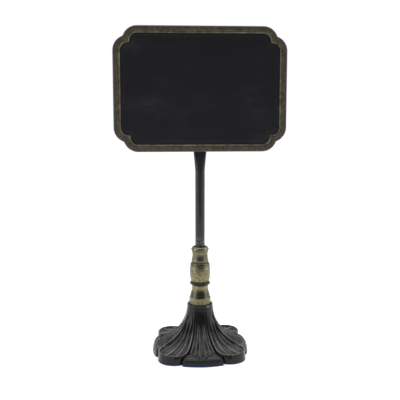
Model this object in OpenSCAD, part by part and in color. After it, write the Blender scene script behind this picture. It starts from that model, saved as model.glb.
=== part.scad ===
// Small chalkboard sign on a pedestal. A plaque-shaped framed board stands on a round
// steel post that turns in a turned brass collar over a fluted cast base.
// The origin is on the post's axis at the bottom of the base pad. +Z is up, the
// writing face looks along -Y and +X is to the right of a reader.

/* [Sign] */
// Width of the frame
sign_w = 157; // [130:1:200]
// Height of the frame
sign_h = 112.5; // [96:0.5:140]
// Height of the frame's lowest edge above the ground
sign_bottom = 190; // [175:1:230]
// Depth of the frame from front to back
frame_depth = 7.5; // [7:0.5:12]
// Width of the frame's face, from its edge to the opening
border_w = 6.7; // [6:0.1:9]
// Step between the two overlapping round rectangles of the outline
notch = 8.5; // [6:0.5:11]
// Radius of the outline's corners
corner_r = 13.6; // [12:0.1:16]
// Radius of the small dimple between a corner's two arcs
dimple_r = 1.5; // [1:0.1:2.5]
// Thickness of the lip that holds the panel from the front
lip_t = 1.4; // [1:0.1:2]
// Thickness of the chalkboard panel
panel_t = 3; // [2:0.5:4]

/* [Post] */
// Outside diameter of the post
post_d = 9; // [8.5:0.1:9.4]
// Wall of the post's tube
post_wall = 1; // [0.9:0.1:1.2]
// Height where the post starts to flatten
flare_start = 167; // [150:1:170]
// Height where the post is flat
flare_end = 198; // [195:1:205]
// Height of the flattened end of the post
tongue_top = 265; // [260:1:280]
// Running clearance between the post and its guide, on the radius
post_clearance = 0.05; // [0.02:0.01:0.09]

/* [Collar] */
// Outside radius of the sleeve that the collar is stacked on
sleeve_r = 6; // [5.8:0.1:6.2]
// Height of the collar's mouth
collar_top = 100.3; // [99.5:0.1:102]
// Radius of the collar's mouth
mouth_r = 5.9; // [5.7:0.1:6]
// Largest radius of the lip ring
lip_r = 8.35; // [8.1:0.05:8.6]
// Largest radius of the barrel
barrel_r = 9.75; // [9.4:0.05:10.2]
// Largest radius of the dark ring
ring_r = 9.8; // [9.3:0.05:10.1]
// Radius of the cone's lower band
band_r = 10.2; // [9.9:0.1:10.3]

/* [Base] */
// Height of the cup's rim
cup_top = 45.5; // [44:0.5:48]
// Outside radius of the cup
cup_r = 12.2; // [12.1:0.1:12.6]
// Distance of each large lobe's centre from the axis
lobe_dist = 35.9; // [34:0.1:37]
// Radius of the large lobes
lobe_r = 14.6; // [14:0.1:15.2]
// Height of the large lobes' upper surface near their ends
lobe_z = 7.7; // [7:0.1:9]
// Distance of the four smaller sections' edges from the axis
mid_reach = 44.8; // [43:0.1:46]
// Width of the four smaller sections
mid_w = 34; // [30:1:36]
// Height of the smaller sections' upper surface near their edges
mid_z = 5.5; // [5:0.1:6.5]
// Height of the raised borders and ribs
rib_h = 0.9; // [0.6:0.1:1.2]
// Thickness of the pad glued under the base
pad_t = 1.2; // [1:0.1:2]

/* [Fasteners] */
// Height between the two screws that hold the post
post_screw_gap = 16; // [14:1:18]
// Radius of the post screws' shanks
post_screw_r = 2; // [1.8:0.1:2.2]
// Radius of the small screws' shanks
small_screw_r = 0.9; // [0.8:0.05:1]
// Radius of the stud through the base
stud_r = 2; // [1.9:0.1:2.1]

/* [Hidden] */
$fn = 96;

// slip is the gap left between pieces that slide together, eps lets cuts run past a face
slip = 0.05;
eps = 0.1;

// sign, from back to front: the post's flat tongue, the strap, then the frame's back
sign_mid = sign_bottom + sign_h / 2;
tongue_t = 2 * post_wall;
strap_t = 1.6;
strap_w = 26;
frame_back = -tongue_t / 2 - strap_t;
frame_front = frame_back - frame_depth;
panel_front = frame_front + lip_t;
board_front = panel_front + panel_t;
rabbet = 2.5;
side_wall = border_w - rabbet;
clip_t = 0.8;
clip_w = 7;
clip_len = 16;
clip_x = 45;
strap_end = sign_w / 2 - side_wall / 2;
strap_overhang = 1.6;
strap_screw_z = 7;
small_screw_len = 4.5;

// middle of a corner's two arc centres, and the way from there, in x and in y, to the centre
// of the small dimple between the arcs when they are drawn inset by d
corner_mid = [sign_w / 2 - corner_r - notch / 2, sign_h / 2 - corner_r - notch / 2];
function dimple_step(d) = sqrt((pow(corner_r - d + dimple_r, 2) - notch * notch / 2) / 2);

// post: a tube pressed flat keeps its girth; the pressed part starts a hair inside the tube
post_r = post_d / 2;
flare_steps = 10;
flare_r = post_r - 0.07;
function flat_half_width(b) = b + PI / 2 * (flare_r - b);
tongue_w = 2 * flat_half_width(tongue_t / 2);

// collar heights, from the cup's floor up
cup_floor = 42;
cone_top = 63.4;
ring_top = 67;
barrel_top = 86.2;
neck_top = 94.7;
sleeve_top = 95.8;
collar_bore = sleeve_r + slip;

// stack inside the base, from the sleeve's socket down
socket_floor = 33;
web_bottom = 27;
stud_hole_r = stud_r + 0.3;
thrust_t = 1.2;
foot_z = socket_floor + thrust_t + slip;
plug_flange = 2;
plug_len = 14;
base_washer_t = 1;
spring_t = 1.2;
nut_t = 4;
nut_af = 7;
stud_bottom = 18;
stud_top = foot_z + plug_len - 1;

// base: each surface falls from the cup as an arc of this centre height
flow_top = 43;
lobe_flow = flow_top - lobe_z;
mid_flow = flow_top - mid_z;
base_reach = 52;
cup_wall = 1.4;
border = 1.5;
base_wall = 3.5;
hollow_r = 37;
pocket_r = 10;
pocket_top = 5;
leaf_root = 8;
leaf_root_w = 2.9;
leaf_slope = 25.5;
mid_end_r = 60;
mid_rib_start = 30;

// points of an arc about (x, y), from angle a0 to a1
function arc(x, y, r, a0, a1, n = 8) =
    [for (i = [0:n]) [x + r * cos(a0 + (a1 - a0) * i / n), y + r * sin(a0 + (a1 - a0) * i / n)]];

// ---------------------------------------------------------------- sign

// rounded rectangle about the origin
module round_rect(w, h, r) {
    square([w - 2 * r, h], center = true);
    square([w, h - 2 * r], center = true);
    for (sx = [-1, 1], sy = [-1, 1])
        translate([sx * (w / 2 - r), sy * (h / 2 - r)]) circle(r);
}

// plaque outline with notched round corners, drawn inset by d
module plaque(d = 0) {
    w = sign_w - 2 * d;
    h = sign_h - 2 * d;
    dimple_mid = corner_mid + [dimple_step(d), dimple_step(d)];
    round_rect(w, h - 2 * notch, corner_r - d);
    round_rect(w - 2 * notch, h, corner_r - d);
    for (mx = [0, 1], my = [0, 1]) mirror([mx, 0]) mirror([0, my]) difference() {
        polygon([corner_mid + [notch, -notch] / 2, dimple_mid, corner_mid - [notch, -notch] / 2]);
        translate(dimple_mid) circle(dimple_r);
    }
}

// stands a flat outline upright between two depths, at the sign's middle
module upright(y0, y1) {
    translate([0, y1, sign_mid]) rotate([90, 0, 0]) linear_extrude(y1 - y0) children();
}

// round rod or hole along Y
module y_rod(x, z, r, y0, y1) {
    translate([x, y1, z]) rotate([90, 0, 0]) cylinder(r = r, h = y1 - y0);
}

// screw whose head stands on y_seat and whose shank goes forward from it
module screw(x, z, y_seat, r, len, head_r, head_h) {
    y_rod(x, z, r, y_seat - len, y_seat + eps);
    difference() {
        intersection() {
            y_rod(x, z, head_r, y_seat, y_seat + head_h);
            translate([x, y_seat + head_h - 1.6 * head_r, z]) sphere(r = 1.6 * head_r);
        }
        for (turn = [0, 90])
            translate([x, y_seat + head_h, z]) rotate([0, turn, 0])
                cube([head_r, head_h, head_r * 0.25], center = true);
    }
}

// places of the four retainer clips: [x, z, 1 at the top or -1 at the bottom]
clip_places = [for (sx = [-1, 1], sz = [-1, 1])
    [sx * clip_x, sign_mid + sz * (sign_h / 2 - side_wall / 2), sz]];
strap_screw_places = [for (sx = [-1, 1], sz = [-1, 1])
    [sx * strap_end, sign_mid + sz * strap_screw_z]];
post_screw_places = [for (sz = [-1, 1]) [0, sign_mid + sz * post_screw_gap / 2]];

module sign_frame() {
    color("#4b4632") difference() {
        upright(frame_front, frame_back) plaque();
        upright(frame_front - eps, frame_back + eps) plaque(border_w);
        upright(panel_front, frame_back + eps) plaque(side_wall);
        for (p = concat(clip_places, strap_screw_places))
            y_rod(p[0], p[1], small_screw_r + slip, frame_back - small_screw_len, frame_back + eps);
    }
}

module chalkboard_panel() {
    color("#232527") upright(panel_front, board_front) plaque(side_wall + 2 * slip);
}

module backing_board() {
    color("#6b4a2c") difference() {
        upright(board_front, frame_back) plaque(side_wall + 2 * slip);
        for (p = post_screw_places)
            y_rod(p[0], p[1], post_screw_r + 0.3, board_front + 0.5, frame_back + eps);
    }
}

module retainer_clips() {
    color("#8c8c8a") for (p = clip_places) difference() {
        union() {
            y_rod(p[0], p[1], side_wall / 2, frame_back, frame_back + clip_t);
            y_rod(p[0], p[1] - p[2] * (clip_len - clip_w), clip_w / 2, frame_back,
                  frame_back + clip_t);
            translate([p[0], frame_back, p[1]]) mirror([0, 0, p[2] > 0 ? 1 : 0])
                translate([-side_wall / 2, 0, 0]) cube([side_wall, clip_t, clip_len - clip_w]);
        }
        y_rod(p[0], p[1], small_screw_r + slip, frame_back - eps, frame_back + clip_t + eps);
    }
}

module clip_screws() {
    color("#b5b5b0") for (p = clip_places)
        screw(p[0], p[1], frame_back + clip_t, small_screw_r, small_screw_len, 1.8, 1.1);
}

module back_strap() {
    color("#2c2c2e") difference() {
        upright(frame_back, frame_back + strap_t)
            round_rect(2 * (strap_end + strap_overhang), strap_w, 3);
        for (p = post_screw_places)
            y_rod(p[0], p[1], post_screw_r + slip, frame_back - eps, frame_back + strap_t + eps);
        for (p = strap_screw_places)
            y_rod(p[0], p[1], small_screw_r + slip, frame_back - eps, frame_back + strap_t + eps);
    }
}

module strap_screws() {
    color("#b5b5b0") for (p = strap_screw_places)
        screw(p[0], p[1], frame_back + strap_t, small_screw_r, small_screw_len, 1.8, 1.1);
}

module post_screws() {
    color("#b5b5b0") for (p = post_screw_places)
        screw(p[0], p[1], tongue_t / 2 + clip_t, post_screw_r, 5.6, 3.6, 2.2);
}

module post_screw_washers() {
    color("#9a9a98") for (p = post_screw_places) difference() {
        y_rod(p[0], p[1], 4.5, tongue_t / 2, tongue_t / 2 + clip_t);
        y_rod(p[0], p[1], post_screw_r + 0.2, tongue_t / 2 - eps, tongue_t / 2 + clip_t + eps);
    }
}

// ---------------------------------------------------------------- post

// section of the tube pressed to half thickness b: two half circles joined by flats
function flat_ring(b, z, n = 32) = [for (i = [0:n - 1])
    let (a = 360 * (i + 0.5) / n, side = cos(a) > 0 ? 1 : -1)
    [side * (flat_half_width(b) - b) + b * cos(a), b * sin(a), z]];

// the end of the tube from where it starts to flatten, as rings of equal count
module pressed_end() {
    n = 32;
    rings = concat(
        [flat_ring(flare_r, flare_start - 1)],
        [for (k = [0:flare_steps])
            let (s = k / flare_steps, ease = s * s * (3 - 2 * s))
            flat_ring(flare_r + (tongue_t / 2 - flare_r) * ease,
                      flare_start + (flare_end - flare_start) * s)],
        [flat_ring(tongue_t / 2, tongue_top)]);
    last = len(rings) - 1;
    sides = [for (k = [0:last - 1], i = [0:n - 1])
        [k * n + i, (k + 1) * n + i, (k + 1) * n + (i + 1) % n, k * n + (i + 1) % n]];
    bottom = [[for (i = [0:n - 1]) i]];
    top = [[for (i = [n - 1:-1:0]) last * n + i]];
    polyhedron([for (ring = rings) each ring], concat(sides, bottom, top));
}

module post_tube() {
    color("#3b3b3e") {
        difference() {
            translate([0, 0, foot_z + plug_flange])
                cylinder(r = post_r, h = flare_start - foot_z - plug_flange);
            translate([0, 0, foot_z + plug_flange - eps])
                cylinder(r = post_r - post_wall, h = flare_start - foot_z - plug_flange - 2);
        }
        difference() {
            pressed_end();
            for (p = post_screw_places)
                y_rod(p[0], p[1], post_screw_r + 0.2, -tongue_t, tongue_t);
            for (sx = [-1, 1])
                translate([sx * tongue_w / 2, 0, tongue_top]) rotate([0, 45, 0])
                    cube([3, 2 * tongue_t, 3], center = true);
        }
    }
}

module post_plug() {
    color("#9a9a98") translate([0, 0, foot_z]) difference() {
        union() {
            cylinder(r = post_r, h = plug_flange);
            cylinder(r = post_r - post_wall - slip, h = plug_len);
        }
        translate([0, 0, -eps]) cylinder(r = stud_r + slip, h = plug_len + 2 * eps);
    }
}

module post_stud() {
    color("#8c8c8a") translate([0, 0, stud_bottom]) cylinder(r = stud_r, h = stud_top - stud_bottom);
}

// flat ring about the axis
module washer(z, t, inner_r, outer_r) {
    translate([0, 0, z]) difference() {
        cylinder(r = outer_r, h = t);
        translate([0, 0, -eps]) cylinder(r = inner_r, h = t + 2 * eps);
    }
}

module spring_washer() {
    z = web_bottom - base_washer_t - spring_t - slip;
    color("#707070") difference() {
        washer(z, spring_t, stud_r + 0.1, 3.6);
        translate([0, -0.4, z - eps]) cube([5, 0.8, spring_t + 2 * eps]);
    }
}

module stud_nut() {
    z = web_bottom - base_washer_t - spring_t - nut_t - 2 * slip;
    color("#b5b5b0") translate([0, 0, z]) difference() {
        cylinder(r = nut_af / 2 / cos(30), h = nut_t, $fn = 6);
        translate([0, 0, -eps]) cylinder(r = stud_r + slip, h = nut_t + 2 * eps, $fn = 48);
    }
}

// ---------------------------------------------------------------- collar

// turns a list of [radius, height] points that bounds the outside, over a plain bore
module turned(points, bore) {
    rotate_extrude() polygon(concat(
        [[bore, points[0][1]]], points, [[bore, points[len(points) - 1][1]]]));
}

// a round ring: a large arc outside runs smoothly into the small arc of the mouth's rim
module collar_lip_ring() {
    rim = 0.7;
    swell = 3.5;
    turn = acos((mouth_r + rim - lip_r + swell) / (swell - rim));
    mid = collar_top - rim - (swell - rim) * sin(turn);
    outside = concat(
        [[7.15, neck_top]],
        arc(lip_r - swell, mid, swell, -43, turn),
        arc(mouth_r + rim, collar_top - rim, rim, turn, 180));
    color("#8f8560") rotate_extrude() polygon(concat(
        outside, [[mouth_r, sleeve_top], [collar_bore, sleeve_top], [collar_bore, neck_top]]));
}

// a hollowed waist between a plain ledge and the lip ring
module collar_neck() {
    ledge_r = 8.1;
    waist_r = 7.25;
    hollow = 14.6;
    waist = arc(waist_r + hollow, neck_top - 3.6, hollow, 191.5, 165.7);
    color("#8f8560") turned(concat(
        [[ledge_r - 0.2, barrel_top], [ledge_r, barrel_top + 0.3], [ledge_r, barrel_top + 1.5]],
        waist, [[7.6, neck_top]]), collar_bore);
}

module collar_barrel() {
    swell = 40;
    mid = ring_top + 9.1;
    color("#8f8560") turned(concat(
        arc(7.7, ring_top + 1.1, 1.19, -65, -10, 3),
        arc(barrel_r - swell, mid, swell, -11.5, 9.5, 12),
        arc(6.6, barrel_top - 3.1, 2.6, 5, 62, 6),
        [[7.85, barrel_top]]), collar_bore);
}

module collar_dark_ring() {
    edge_r = 8.3;
    n = 12;
    bulge = [for (i = [0:n]) let (s = i / n)
        [edge_r + (ring_r - edge_r) * sin(180 * s), cone_top + (ring_top - cone_top) * s]];
    color("#2b2c2b") turned(bulge, collar_bore);
}

module collar_cone() {
    color("#8f8560") turned([
        [band_r - 0.4, cup_floor], [band_r, cup_floor + 0.6], [band_r, 50.8], [band_r - 0.3, 52],
        [8.9, 56], [8.4, 57.5], [8, 58.8], [7.8, 60.2], [7.7, cone_top]], collar_bore);
}

module guide_sleeve() {
    color("#a8a8a4") washer(socket_floor, sleeve_top - socket_floor, post_r + post_clearance, sleeve_r);
}

module thrust_washer() {
    color("#b08d57") washer(socket_floor, thrust_t, stud_hole_r, post_r - slip);
}

module base_washer() {
    color("#9a9a98") washer(web_bottom - base_washer_t, base_washer_t, stud_hole_r, 5);
}

// ---------------------------------------------------------------- base

// body of revolution that falls from the cup to the ground along an arc of radius flow
module falling_body(flow, rise = 0) {
    rotate_extrude() difference() {
        square([base_reach, cup_top]);
        translate([cup_r + flow, flow_top + rise]) circle(flow);
        translate([cup_r, flow_top + rise]) square([base_reach, cup_top]);
    }
}

// one large leaf along +X, drawn inset by d
module leaf(d = 0) {
    r = lobe_r - d;
    translate([lobe_dist, 0]) circle(r);
    polygon([for (sy = [-1, 1], end = [0, 1]) end == (sy < 0 ? 0 : 1)
        ? [leaf_root, sy * (leaf_root_w - d)]
        : [lobe_dist - r * sin(leaf_slope), sy * r * cos(leaf_slope)]]);
}

// the leaf's raised border and its two inner ribs
module leaf_ribs() {
    difference() {
        leaf();
        leaf(border);
    }
    intersection() {
        leaf();
        for (sy = [-1, 1])
            polygon([[leaf_root, sy * 0.6], [base_reach, sy * 3.6],
                     [base_reach, sy * 5.8], [leaf_root, sy * 1.2]]);
    }
}

module four(first) {
    for (k = [0:3]) rotate(first + 90 * k) children();
}

// one smaller section along +X: a strip with a gently curved end
module mid_section(d = 0) {
    intersection() {
        translate([0, -mid_w / 2 + d]) square([base_reach, mid_w - 2 * d]);
        translate([mid_reach - mid_end_r, 0]) circle(mid_end_r - d);
    }
}

module base_outline() {
    four(45) leaf();
    four(0) mid_section();
    circle(cup_r + 8);
}

// a falling body cut to an outline given as children
module cut_flow(flow, rise = 0) {
    intersection() {
        falling_body(flow, rise);
        translate([0, 0, pad_t]) linear_extrude(cup_top) children();
    }
}

module base_casting() {
    color("#26272a") difference() {
        union() {
            cut_flow(mid_flow) base_outline();
            cut_flow(lobe_flow) four(45) leaf();
            cut_flow(lobe_flow, rib_h) four(45) leaf_ribs();
            cut_flow(mid_flow, rib_h) four(0) difference() {
                mid_section();
                mid_section(border);
                translate([-base_reach, -base_reach])
                    square([base_reach + mid_rib_start, 2 * base_reach]);
            }
        }
        // cup for the collar, socket for the sleeve and hole for the stud
        translate([0, 0, cup_floor]) cylinder(r = cup_r - cup_wall, h = cup_top);
        translate([0, 0, socket_floor]) cylinder(r = collar_bore, h = cup_top);
        cylinder(r = stud_hole_r, h = cup_top);
        // hollow underside and the pockets under the lobes
        rotate_extrude() difference() {
            square([hollow_r, web_bottom]);
            translate([cup_r + mid_flow, flow_top]) circle(mid_flow + base_wall);
        }
        four(45) translate([lobe_dist, 0]) cylinder(r = pocket_r, h = pocket_top);
    }
}

module base_pad() {
    color("#1c2340") linear_extrude(pad_t) base_outline();
}

sign_frame();
chalkboard_panel();
backing_board();
retainer_clips();
clip_screws();
back_strap();
strap_screws();
post_screws();
post_screw_washers();
post_tube();
post_plug();
post_stud();
spring_washer();
stud_nut();
collar_lip_ring();
collar_neck();
collar_barrel();
collar_dark_ring();
collar_cone();
guide_sleeve();
thrust_washer();
base_washer();
base_casting();
base_pad();
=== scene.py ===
"""Looks of a tabletop chalkboard sign on a turning post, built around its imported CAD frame."""
import math
import random

import bmesh
import bpy
import numpy as np
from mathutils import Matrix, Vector, noise


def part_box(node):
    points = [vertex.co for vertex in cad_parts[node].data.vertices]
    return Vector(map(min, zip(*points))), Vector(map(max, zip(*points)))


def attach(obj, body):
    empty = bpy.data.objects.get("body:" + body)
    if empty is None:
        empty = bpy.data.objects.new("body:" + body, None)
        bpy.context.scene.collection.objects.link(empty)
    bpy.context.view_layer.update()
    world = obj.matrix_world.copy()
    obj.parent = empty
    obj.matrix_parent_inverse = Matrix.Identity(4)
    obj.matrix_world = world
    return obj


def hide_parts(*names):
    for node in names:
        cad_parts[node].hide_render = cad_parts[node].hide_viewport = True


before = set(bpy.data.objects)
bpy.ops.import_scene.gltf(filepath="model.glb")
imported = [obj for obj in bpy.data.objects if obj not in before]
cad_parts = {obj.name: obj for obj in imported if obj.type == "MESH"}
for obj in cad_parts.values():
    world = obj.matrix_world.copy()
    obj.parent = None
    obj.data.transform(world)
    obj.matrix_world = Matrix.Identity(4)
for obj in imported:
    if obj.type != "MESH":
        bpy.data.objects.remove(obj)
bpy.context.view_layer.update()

MM = 0.001  # metres in a millimetre
SIGN = "sign_and_post"
BASE = "base"

# ---- sizes, in millimetres


def span(node, axis):
    """Lowest and highest coordinate of a CAD node along an axis, in millimetres."""
    lo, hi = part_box(node)
    return lo[axis] / MM, hi[axis] / MM


X, Y, Z = 0, 1, 2
SIGN_HALF_W = span("sign_frame", X)[1]
SIGN_BOTTOM, SIGN_TOP = span("sign_frame", Z)
SIGN_MID = (SIGN_BOTTOM + SIGN_TOP) / 2
SIGN_HALF_H = (SIGN_TOP - SIGN_BOTTOM) / 2
FRAME_FRONT, FRAME_BACK = span("sign_frame", Y)
PANEL_FRONT, PANEL_BACK = span("chalkboard_panel", Y)
NOTCH = 8.5
CORNER_R = 13.6
DIMPLE_R = 1.5
BORDER_W = 6.7
RABBET_WALL = 4.2

POST_R = span("post_tube", Y)[1]
POST_FOOT, POST_TOP = span("post_tube", Z)
TONGUE_T = 2.0
FLARE_START = 167.0
FLARE_END = 198.0

# base: a cup that flows down into four round leaves and four smaller middle sections
CUP_TOP = span("base_casting", Z)[1]
CUP_FLOOR = span("collar_cone", Z)[0]
PAD_TOP = span("base_pad", Z)[1]
CUP_R = 12.2
CUP_BORE_R = 10.8
CUP_TAPER = 0.55
BORE_R = span("guide_sleeve", X)[1] + 0.05
STUD_HOLE_R = 2.3
FLOW_TOP = 43.0
LOBE_DIST = 35.9
LOBE_R = 14.6
LOBE_FLOW = 35.3
MID_REACH = span("base_casting", X)[1]
MID_HALF_W = 17.5
MID_FLOW = 37.5
MID_FAR = 99.0
EDGE_IN = 1.0
MID_END_R = 60.0
MID_FLARE = 1.1
CORNER_POWER = 60.0
RIDGE_TURN = 11.7
HOLLOW_R = 37.0
# a leaf's straight sides meet at its apex, this far either side of its middle line
LEAF_ANGLE = math.radians(25.5)
LEAF_APEX = LOBE_DIST - LOBE_R / math.sin(LEAF_ANGLE)

# ---- mesh helpers


def add_object(name, data):
    """A new object in the scene."""
    obj = bpy.data.objects.new(name, data)
    bpy.context.scene.collection.objects.link(obj)
    return obj


def add_mesh(name, points, faces):
    """A mesh object from points in millimetres, with its faces turned outward."""
    mesh = bpy.data.meshes.new(name)
    mesh.from_pydata((np.asarray(points, float) * MM).tolist(), [], faces)
    bm = bmesh.new()
    bm.from_mesh(mesh)
    bmesh.ops.recalc_face_normals(bm, faces=bm.faces)
    bm.to_mesh(mesh)
    bm.free()
    return add_object(name, mesh)


def grid_faces(rows, cols, across=False, around=False, start=0, flip=False):
    """Quads of a grid of points; around closes each row and across joins last row to first."""
    faces = []
    for i in range(rows if across else rows - 1):
        for j in range(cols if around else cols - 1):
            a, b = start + i * cols, start + (i + 1) % rows * cols
            k = (j + 1) % cols
            face = (a + j, a + k, b + k, b + j)
            faces.append(face[::-1] if flip else face)
    return faces


def capped_faces(rows, cols):
    """Faces of a tube of point rings that is closed at both ends."""
    return grid_faces(rows, cols, around=True) + [
        list(range(cols)), list(range((rows - 1) * cols, rows * cols))]


def arc(x, y, r, a0, a1, n=8):
    """Points of an arc about (x, y) between two angles in degrees."""
    turn = [math.radians(a0 + (a1 - a0) * i / n) for i in range(n + 1)]
    return [(x + r * math.cos(a), y + r * math.sin(a)) for a in turn]


def smooth(x, lo, hi):
    """0 below lo, 1 above hi, and an even curve between."""
    t = np.clip((np.asarray(x, float) - lo) / (hi - lo), 0, 1)
    return t * t * (3 - 2 * t)


def lathe(name, outline, turns=128):
    """Turns a closed outline of (radius, height) points about Z. Points on the axis become poles."""
    points, rings = [], []
    for r, z in outline:
        rings.append((len(points), 1 if r < 1e-6 else turns))
        for j in range(rings[-1][1]):
            a = 2 * math.pi * j / turns
            points.append((r * math.cos(a), r * math.sin(a), z))
    faces = []
    for (a, na), (b, nb) in zip(rings, rings[1:] + rings[:1]):
        for j in range(turns):
            k = (j + 1) % turns
            face = [a + j % na, a + k % na, b + k % nb, b + j % nb]
            face = [v for i, v in enumerate(face) if v != face[i - 1]]
            if len(face) > 2:
                faces.append(face)
    return add_mesh(name, points, faces)


def slab(name, outline, y0, y1, bevel=0.3):
    """A plate between two depths whose outline(inset) gives (x, z) points, with eased edges."""
    rings = [(bevel, y0), (bevel * 0.3, y0 + bevel * 0.3), (0, y0 + bevel),
             (0, y1 - bevel), (bevel * 0.3, y1 - bevel * 0.3), (bevel, y1)]
    points = [(x, y, z) for inset, y in rings for x, z in outline(inset)]
    return add_mesh(name, points, capped_faces(len(rings), len(outline(0))))


def cut(target, tool, operation="DIFFERENCE"):
    """Applies a boolean with a closed tool, which is then removed."""
    modifier = target.modifiers.new("cut", "BOOLEAN")
    modifier.operation = operation
    modifier.solver = "MANIFOLD"
    modifier.object = tool
    bpy.context.view_layer.update()
    shape = target.evaluated_get(bpy.context.evaluated_depsgraph_get())
    made = bpy.data.meshes.new_from_object(shape)
    target.modifiers.remove(modifier)
    target.data = made
    bpy.data.objects.remove(tool)
    return target


def join(objects, name):
    """One object from several."""
    bpy.ops.object.select_all(action="DESELECT")
    for o in objects:
        o.select_set(True)
    bpy.context.view_layer.objects.active = objects[0]
    bpy.ops.object.join()
    objects[0].name = name
    return objects[0]


def set_attribute(obj, name, values):
    """A named number on every point of the mesh, for its material to read."""
    layer = obj.data.attributes.new(name, "FLOAT", "POINT")
    layer.data.foreach_set("value", np.asarray(values, np.float32))


def mesh_points(obj):
    """The mesh's points in millimetres, as an array."""
    co = np.zeros(len(obj.data.vertices) * 3)
    obj.data.vertices.foreach_get("co", co)
    return co.reshape(-1, 3) / MM


def finish_piece(obj, body, material, node, sharp=40):
    """Shading, material and body of a finished piece, and the CAD node that it replaces."""
    obj.data.shade_smooth()
    obj.data.set_sharp_from_angle(angle=math.radians(sharp))
    obj.data.materials.clear()
    obj.data.materials.append(material)
    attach(obj, body)
    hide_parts(node)


# ---- material helpers


class Shader:
    """A material under construction: adds nodes and links them."""

    def __init__(self, name, **settings):
        self.material = bpy.data.materials.new(name)
        self.material.use_nodes = True
        self.tree = self.material.node_tree
        self.bsdf = self.tree.nodes["Principled BSDF"]
        self.coords = self.add("ShaderNodeTexCoord").outputs["Object"]
        self.done(**settings)

    def put(self, node, socket, value):
        """Sets an input to a value, or links it if the value is another node's output."""
        if isinstance(value, bpy.types.NodeSocket):
            self.tree.links.new(value, node.inputs[socket])
        else:
            node.inputs[socket].default_value = value

    def add(self, kind, inputs=(), **settings):
        node = self.tree.nodes.new(kind)
        for key, value in settings.items():
            setattr(node, key, value)
        for socket, value in dict(inputs).items():
            self.put(node, socket, value)
        return node

    def stretched(self, scale):
        """Object coordinates stretched by a scale along each axis."""
        return self.add("ShaderNodeMapping", {"Vector": self.coords, "Scale": scale}).outputs[0]

    def noise(self, scale, detail=4.0, rough=0.55, vector=None):
        """Noise from 0 to 1; scale is in features per metre."""
        return self.add("ShaderNodeTexNoise", {
            "Vector": vector or self.coords, "Scale": scale, "Detail": detail,
            "Roughness": rough}).outputs["Fac"]

    def ramp(self, value, lo, hi, out_lo=0.0, out_hi=1.0):
        """A value remapped between limits, clamped."""
        return self.add("ShaderNodeMapRange", {
            "Value": value, "From Min": lo, "From Max": hi, "To Min": out_lo,
            "To Max": out_hi}, interpolation_type="SMOOTHSTEP").outputs[0]

    def times(self, a, b):
        return self.add("ShaderNodeMath", {0: a, 1: b}, operation="MULTIPLY").outputs[0]

    def plus(self, a, b):
        return self.add("ShaderNodeMath", {0: a, 1: b}, operation="ADD").outputs[0]

    def attribute(self, name):
        return self.add("ShaderNodeAttribute", attribute_name=name).outputs["Fac"]

    def mix(self, factor, a, b):
        """Colour a where factor is 0 and b where it is 1."""
        node = self.add("ShaderNodeMix", data_type="RGBA")
        self.put(node, "Factor", factor)
        for socket, value in ((6, a), (7, b)):
            self.put(node, socket, value if isinstance(value, bpy.types.NodeSocket) else (*value, 1))
        return node.outputs[2]

    def bump(self, height, distance, strength=1.0, under=None):
        """Surface bump; distance is its height in metres."""
        inputs = {"Height": height, "Distance": distance, "Strength": strength}
        if under is not None:
            inputs["Normal"] = under
        return self.add("ShaderNodeBump", inputs).outputs[0]

    def done(self, **sockets):
        """Sets or links the shader's own sockets and returns the material."""
        for socket, value in sockets.items():
            self.put(self.bsdf, socket.replace("_", " "), value)
        return self.material


def antique_gold():
    """Dark paint rubbed with old gold; tone is 0 on the edges, 1 on the band and 2 on the bead."""
    s = Shader("antique_gold", Specular_IOR_Level=0.45)
    tone = s.attribute("tone")
    fine = s.noise(2600, 3)
    patch = s.noise(260, 5)
    streak = s.noise(900, 4, vector=s.stretched((1.0, 1.0, 0.35)))
    gold = s.mix(s.ramp(patch, 0.35, 0.65), (0.056, 0.047, 0.024), (0.118, 0.100, 0.050))
    gold = s.mix(s.ramp(fine, 0.50, 0.72, 0, 0.8), gold, (0.175, 0.152, 0.085))
    gold = s.mix(s.ramp(streak, 0.52, 0.72, 0, 0.8), gold, (0.027, 0.022, 0.015))
    dark = s.mix(s.ramp(fine, 0.45, 0.8), (0.032, 0.030, 0.036), (0.062, 0.058, 0.064))
    edge_wobble = s.ramp(s.noise(420, 4), 0.3, 0.7, -0.25, 0.25)
    band = s.ramp(s.plus(tone, edge_wobble), 0.30, 0.95)
    colour = s.mix(band, dark, gold)
    worn = s.mix(s.ramp(patch, 0.3, 0.7), (0.100, 0.096, 0.076), (0.225, 0.215, 0.175))
    bead = s.times(s.ramp(tone, 1.3, 1.8), s.ramp(s.noise(350, 4), 0.36, 0.6, 0.25, 1.0))
    colour = s.mix(bead, colour, worn)
    rough = s.ramp(fine, 0.3, 0.7, 0.42, 0.62)
    bump = s.bump(fine, 0.00012, 0.5, s.bump(patch, 0.0003, 0.4))
    return s.done(Base_Color=colour, Metallic=s.times(band, 0.35), Roughness=rough,
                  Normal=bump)


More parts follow.
